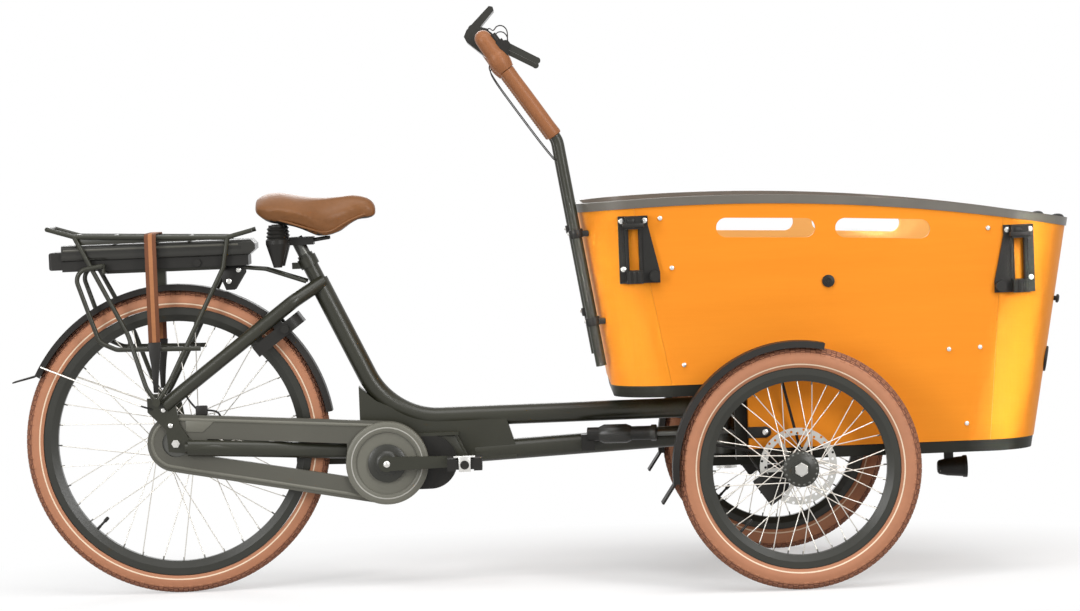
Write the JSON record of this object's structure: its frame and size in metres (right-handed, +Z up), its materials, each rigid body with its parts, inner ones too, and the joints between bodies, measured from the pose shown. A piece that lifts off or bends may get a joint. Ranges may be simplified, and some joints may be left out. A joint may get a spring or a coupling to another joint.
{
  "type": "cargo tricycle",
  "caption": "Cargo tricycle: a plywood box between two steered front wheels, one driven rear wheel, saddle, rear carrier and U handlebar",
  "frame": {"origin": "middle of the overall length and width, on the ground", "axes": "+X forward, +Y to the rider's left, +Z up"},
  "size_m": [2.2643, 0.88, 1.2389],
  "materials": {
    "frame_paint": "matte olive-black powder coat",
    "case_paint": "satin dark grey",
    "box_wood": "clear varnished amber plywood",
    "black_plastic": "fine grained",
    "gloss_black": "smooth",
    "lamp_red": "clear red lens over a dark base",
    "tyre_brown": "brown with a pale side line",
    "rim_black": "black anodised",
    "spoke_steel": "bright drawn wire",
    "bare_steel": "bright zinc",
    "tan_leather": "stitched, slightly worn",
    "grip_leather": "smooth",
    "strap_band": "woven elastic"
  },
  "bodies": {
    "rear_frame": {"main_frame": "frame_paint", "motor_housing": "case_paint", "chain_case": "case_paint", "chain": "bare_steel", "seat_clamp": "rim_black", "rear_axle": "bare_steel", "rear_mudguard": "black_plastic", "rear_carrier": "frame_paint", "battery_dock": "black_plastic", "battery_pack": "gloss_black", "tail_lamp": "lamp_red", "carrier_straps": "strap_band", "ring_lock": "black_plastic", "damper_cylinder": "black_plastic"},
    "rear_wheel": {"rear_tyre": "tyre_brown", "rear_rim": "rim_black", "rear_spokes": "spoke_steel", "rear_hub": "rim_black"},
    "rear_sprocket": {"rear_sprocket": "bare_steel"},
    "crank": {"crank_set": "frame_paint", "chainring": "bare_steel"},
    "pedal_right": {"pedal_right": "black_plastic"},
    "pedal_left": {"pedal_left": "black_plastic"},
    "seat": {"seat_post": "rim_black", "saddle_cover": "tan_leather", "saddle_frame": "black_plastic", "saddle_springs": "black_plastic"},
    "front_unit": {"front_frame": "frame_paint", "kingpin": "bare_steel", "front_calipers": "black_plastic", "front_mudguards": "black_plastic", "box_rim": "black_plastic", "box_floor": "box_wood", "benches": "box_wood", "tent_brackets": "black_plastic", "box_screws": "bare_steel", "front_fittings": "black_plastic", "bar_clamps": "black_plastic", "box_rear_panel": "box_wood", "box_front_panel": "box_wood", "box_side_right": "box_wood", "box_side_left": "box_wood"},
    "handlebar": {"handlebar": "frame_paint", "grips": "grip_leather", "console": "gloss_black", "lever_bodies": "black_plastic", "brake_hoses": "black_plastic"},
    "brake_lever_right": {"brake_lever_right": "rim_black"},
    "brake_lever_left": {"brake_lever_left": "rim_black"},
    "damper_rod": {"damper_rod": "bare_steel"},
    "front_wheel_right": {"front_tyre_right": "tyre_brown", "front_rim_right": "rim_black", "front_spokes_right": "spoke_steel", "front_hub_right": "rim_black", "front_brake_disc_right": "bare_steel"},
    "front_wheel_left": {"front_tyre_left": "tyre_brown", "front_rim_left": "rim_black", "front_spokes_left": "spoke_steel", "front_hub_left": "rim_black", "front_brake_disc_left": "bare_steel"}
  },
  "joints": [
    {"name": "steering", "type": "hinge", "parent": "rear_frame", "child": "front_unit", "pos_m": [0.40174, 0, 0.3], "axis": [0, 0, 1], "range_deg": [-35, 35]},
    {"name": "damper_stroke", "type": "slide", "parent": "rear_frame", "child": "damper_rod", "axis": [0.9901, -0.1404, 0], "range_m": [-0.056, 0.056]},
    {"name": "rear_wheel_spin", "type": "hinge", "parent": "rear_frame", "child": "rear_wheel", "pos_m": [-0.78126, 0, 0.329], "axis": [0, 1, 0], "continuous": true},
    {"name": "crank_spin", "type": "hinge", "parent": "rear_frame", "child": "crank", "pos_m": [-0.33026, 0, 0.269], "axis": [0, 1, 0], "continuous": true},
    {"name": "sprocket_spin", "type": "hinge", "parent": "rear_frame", "child": "rear_sprocket", "pos_m": [-0.78126, 0, 0.329], "axis": [0, 1, 0], "continuous": true},
    {"name": "pedal_right_spin", "type": "hinge", "parent": "crank", "child": "pedal_right", "pos_m": [-0.16226, -0.15, 0.269], "axis": [0, 1, 0], "continuous": true},
    {"name": "pedal_left_spin", "type": "hinge", "parent": "crank", "child": "pedal_left", "pos_m": [-0.49826, 0.15, 0.269], "axis": [0, 1, 0], "continuous": true},
    {"name": "seat_height", "type": "slide", "parent": "rear_frame", "child": "seat", "axis": [-0.4242, 0, 0.9056], "range_m": [-0.01, 0.09]},
    {"name": "bar_height", "type": "slide", "parent": "front_unit", "child": "handlebar", "axis": [-0.1508, 0, 0.9886], "range_m": [-0.02, 0.06]},
    {"name": "brake_lever_right_pull", "type": "hinge", "parent": "handlebar", "child": "brake_lever_right", "pos_m": [-0.04066, -0.24, 1.1499], "axis": [0, 1, 0], "range_deg": [0, 16], "stiffness_Nm_per_rad": 2},
    {"name": "brake_lever_left_pull", "type": "hinge", "parent": "handlebar", "child": "brake_lever_left", "pos_m": [-0.04066, 0.24, 1.1499], "axis": [0, 1, 0], "range_deg": [0, 16], "stiffness_Nm_per_rad": 2},
    {"name": "front_wheel_right_spin", "type": "hinge", "parent": "front_unit", "child": "front_wheel_right", "pos_m": [0.53174, -0.39, 0.252], "axis": [0, 1, 0], "continuous": true},
    {"name": "front_wheel_left_spin", "type": "hinge", "parent": "front_unit", "child": "front_wheel_left", "pos_m": [0.53174, 0.39, 0.252], "axis": [0, 1, 0], "continuous": true}
  ],
  "couplings": [
    {"joint": "sprocket_spin", "follows": "crank_spin", "ratio": 2.1111},
    {"joint": "damper_stroke", "follows": "steering", "m_per_rad": 0.0905}
  ]
}
